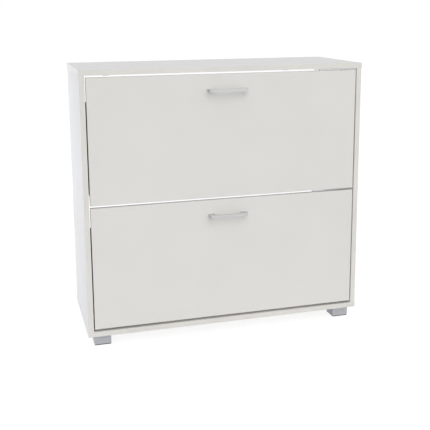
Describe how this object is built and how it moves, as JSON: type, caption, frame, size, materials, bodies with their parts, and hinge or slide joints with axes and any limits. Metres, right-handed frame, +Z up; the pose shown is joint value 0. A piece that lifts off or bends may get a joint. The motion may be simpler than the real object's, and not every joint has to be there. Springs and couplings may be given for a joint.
{
  "type": "shoe cabinet",
  "caption": "Free-standing open-backed shoe cabinet with inset tip-out flaps, each carrying a two-row shoe compartment between quarter-round cheeks, on square block feet.",
  "frame": {"origin": "middle of the cabinet's plan, handles included, at floor level", "axes": "+X to the right along the width, -Y the front with the flaps, +Z up"},
  "size_m": [0.85, 0.352, 0.812],
  "materials": {
    "white_board": "satin white melamine on particle board",
    "silver_foot": "satin silver lacquer",
    "foot_pad": "matte",
    "zinc_steel": "zinc plated",
    "birch_dowel": "raw",
    "white_plastic": "moulded satin",
    "dark_plastic": "fine moulded grain",
    "satin_silver": "satin nickel"
  },
  "bodies": {
    "case": {"top_panel": "white_board", "bottom_panel": "white_board", "left_side": "white_board", "right_side": "white_board", "middle_rail": "white_board", "bottom_rail": "white_board", "foot_front_left": "silver_foot", "foot_front_right": "silver_foot", "foot_back_left": "silver_foot", "foot_back_right": "silver_foot", "foot_pad_front_left": "foot_pad", "foot_pad_front_right": "foot_pad", "foot_pad_back_left": "foot_pad", "foot_pad_back_right": "foot_pad", "foot_screws": "zinc_steel", "cam_locks": "zinc_steel", "cam_bolts": "zinc_steel", "dowels": "birch_dowel", "wall_brackets": "zinc_steel", "bracket_screws": "zinc_steel", "pivot_bushes": "white_plastic", "pivot_pins": "zinc_steel", "stop_pegs": "zinc_steel"},
    "upper_flap": {"upper_flap_front": "white_board", "upper_cheek_left": "dark_plastic", "upper_cheek_right": "dark_plastic", "upper_front_floor": "white_board", "upper_divider": "white_board", "upper_rear_floor": "white_board", "upper_rear_board": "white_board", "upper_corner_blocks": "white_plastic", "upper_flap_screws": "zinc_steel", "upper_handle": "satin_silver", "upper_handle_screws": "zinc_steel"},
    "lower_flap": {"lower_flap_front": "white_board", "lower_cheek_left": "dark_plastic", "lower_cheek_right": "dark_plastic", "lower_front_floor": "white_board", "lower_divider": "white_board", "lower_rear_floor": "white_board", "lower_rear_board": "white_board", "lower_corner_blocks": "white_plastic", "lower_flap_screws": "zinc_steel", "lower_handle": "satin_silver", "lower_handle_screws": "zinc_steel"}
  },
  "joints": [
    {"name": "upper_flap_hinge", "type": "hinge", "parent": "case", "child": "upper_flap", "pos_m": [0, -0.13, 0.4675], "axis": [1, 0, 0], "range_deg": [0, 55]},
    {"name": "lower_flap_hinge", "type": "hinge", "parent": "case", "child": "lower_flap", "pos_m": [0, -0.13, 0.097], "axis": [1, 0, 0], "range_deg": [0, 55]}
  ]
}
